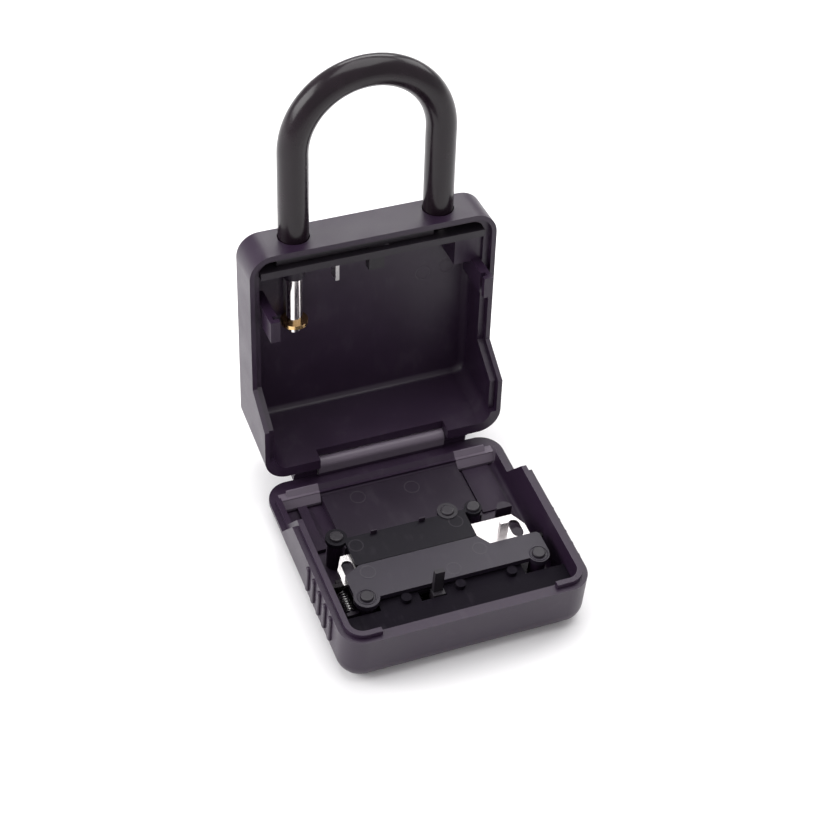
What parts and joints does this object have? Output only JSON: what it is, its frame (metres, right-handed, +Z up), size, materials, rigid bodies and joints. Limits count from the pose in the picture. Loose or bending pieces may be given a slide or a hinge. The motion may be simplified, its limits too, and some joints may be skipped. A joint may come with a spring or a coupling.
{
  "type": "padlock key safe",
  "caption": "Portable key safe with a dial combination lock, lying open: a hinged cover and housing with a padlock shackle on top.",
  "frame": {"origin": "centre of the front cover's flat outer face, which rests on the table", "axes": "+Z up out of the cover; +Y from the cover's free lip to its hinge; +X along the hinge"},
  "size_m": [0.0816, 0.114, 0.1439],
  "materials": {
    "black_paint": "satin black powder coat with a fine grain",
    "black_plate": "black oxide plate",
    "grey_plate": "pale plated steel",
    "rivet_steel": "plain steel",
    "latch_steel": "bright plated steel",
    "black_plastic": "matt black plastic",
    "dial_plastic": "black plastic",
    "shackle_steel": "polished plated steel",
    "shackle_vinyl": "glossy black sleeve",
    "ring_brass": "plain brass"
  },
  "bodies": {
    "cover": {"front_cover": "black_paint", "plate_posts": "black_paint", "guide_posts": "black_paint", "floor_posts": "black_paint", "floor_ribs": "black_paint", "front_deck": "black_paint", "axle_blocks": "black_paint", "lever_rail": "black_paint", "spring_seat": "black_paint", "guard_panel": "black_plate", "mechanism_plate": "black_plate", "retainer_bar": "black_plate", "bar_rivets": "rivet_steel", "plate_rivets": "rivet_steel", "dial_axle": "rivet_steel", "dial_detent_spring": "latch_steel", "hinge_pin": "rivet_steel", "latch_spring": "rivet_steel"},
    "latch": {"latch_plate": "latch_steel", "opener_slide": "black_plastic"},
    "reset": {"reset_lever": "black_plastic"},
    "housing": {"rear_housing": "black_paint", "lock_plate": "grey_plate", "guide_bush": "shackle_steel", "slide_leaf_spring": "latch_steel"},
    "shackle": {"shackle_core": "shackle_steel", "shackle_sleeve": "shackle_vinyl", "retaining_ring": "ring_brass"},
    "lock_slide": {"shackle_lock_slide": "black_plate"},
    "dial_1_body": {"dial_1": "dial_plastic"},
    "ring_1_body": {"code_ring_1": "ring_brass"},
    "dial_2_body": {"dial_2": "dial_plastic"},
    "ring_2_body": {"code_ring_2": "ring_brass"},
    "dial_3_body": {"dial_3": "dial_plastic"},
    "ring_3_body": {"code_ring_3": "ring_brass"},
    "dial_4_body": {"dial_4": "dial_plastic"},
    "ring_4_body": {"code_ring_4": "ring_brass"}
  },
  "joints": [
    {"name": "housing_hinge", "type": "hinge", "parent": "cover", "child": "housing", "pos_m": [0, 0.0396, 0.0114], "axis": [1, 0, 0], "range_deg": [0, 96.8]},
    {"name": "shackle_lift", "type": "slide", "parent": "housing", "child": "shackle", "axis": [0, 0.1184, 0.993], "range_m": [0, 0.014]},
    {"name": "shackle_lock", "type": "slide", "parent": "housing", "child": "lock_slide", "axis": [1, 0, 0], "range_m": [0, 0.0024]},
    {"name": "latch_throw", "type": "slide", "parent": "cover", "child": "latch", "axis": [0, -1, 0], "range_m": [0, 0.0032], "deforming": ["latch_spring"]},
    {"name": "reset_slide", "type": "slide", "parent": "cover", "child": "reset", "axis": [-1, 0, 0], "range_m": [0, 0.0036]},
    {"name": "dial_1_turn", "type": "hinge", "parent": "cover", "child": "dial_1_body", "pos_m": [-0.0126, -0.0075, 0.0068], "axis": [1, 0, 0], "continuous": true},
    {"name": "ring_1_shift", "type": "slide", "parent": "dial_1_body", "child": "ring_1_body", "axis": [-1, 0, 0], "range_m": [0, 0.0012]},
    {"name": "dial_2_turn", "type": "hinge", "parent": "cover", "child": "dial_2_body", "pos_m": [-0.0042, -0.0075, 0.0068], "axis": [1, 0, 0], "continuous": true},
    {"name": "ring_2_shift", "type": "slide", "parent": "dial_2_body", "child": "ring_2_body", "axis": [-1, 0, 0], "range_m": [0, 0.0012]},
    {"name": "dial_3_turn", "type": "hinge", "parent": "cover", "child": "dial_3_body", "pos_m": [0.0042, -0.0075, 0.0068], "axis": [1, 0, 0], "continuous": true},
    {"name": "ring_3_shift", "type": "slide", "parent": "dial_3_body", "child": "ring_3_body", "axis": [-1, 0, 0], "range_m": [0, 0.0012]},
    {"name": "dial_4_turn", "type": "hinge", "parent": "cover", "child": "dial_4_body", "pos_m": [0.0126, -0.0075, 0.0068], "axis": [1, 0, 0], "continuous": true},
    {"name": "ring_4_shift", "type": "slide", "parent": "dial_4_body", "child": "ring_4_body", "axis": [-1, 0, 0], "range_m": [0, 0.0012]}
  ],
  "couplings": [
    {"joint": "ring_1_shift", "follows": "reset_slide", "ratio": 0.33333},
    {"joint": "ring_2_shift", "follows": "reset_slide", "ratio": 0.33333},
    {"joint": "ring_3_shift", "follows": "reset_slide", "ratio": 0.33333},
    {"joint": "ring_4_shift", "follows": "reset_slide", "ratio": 0.33333}
  ]
}
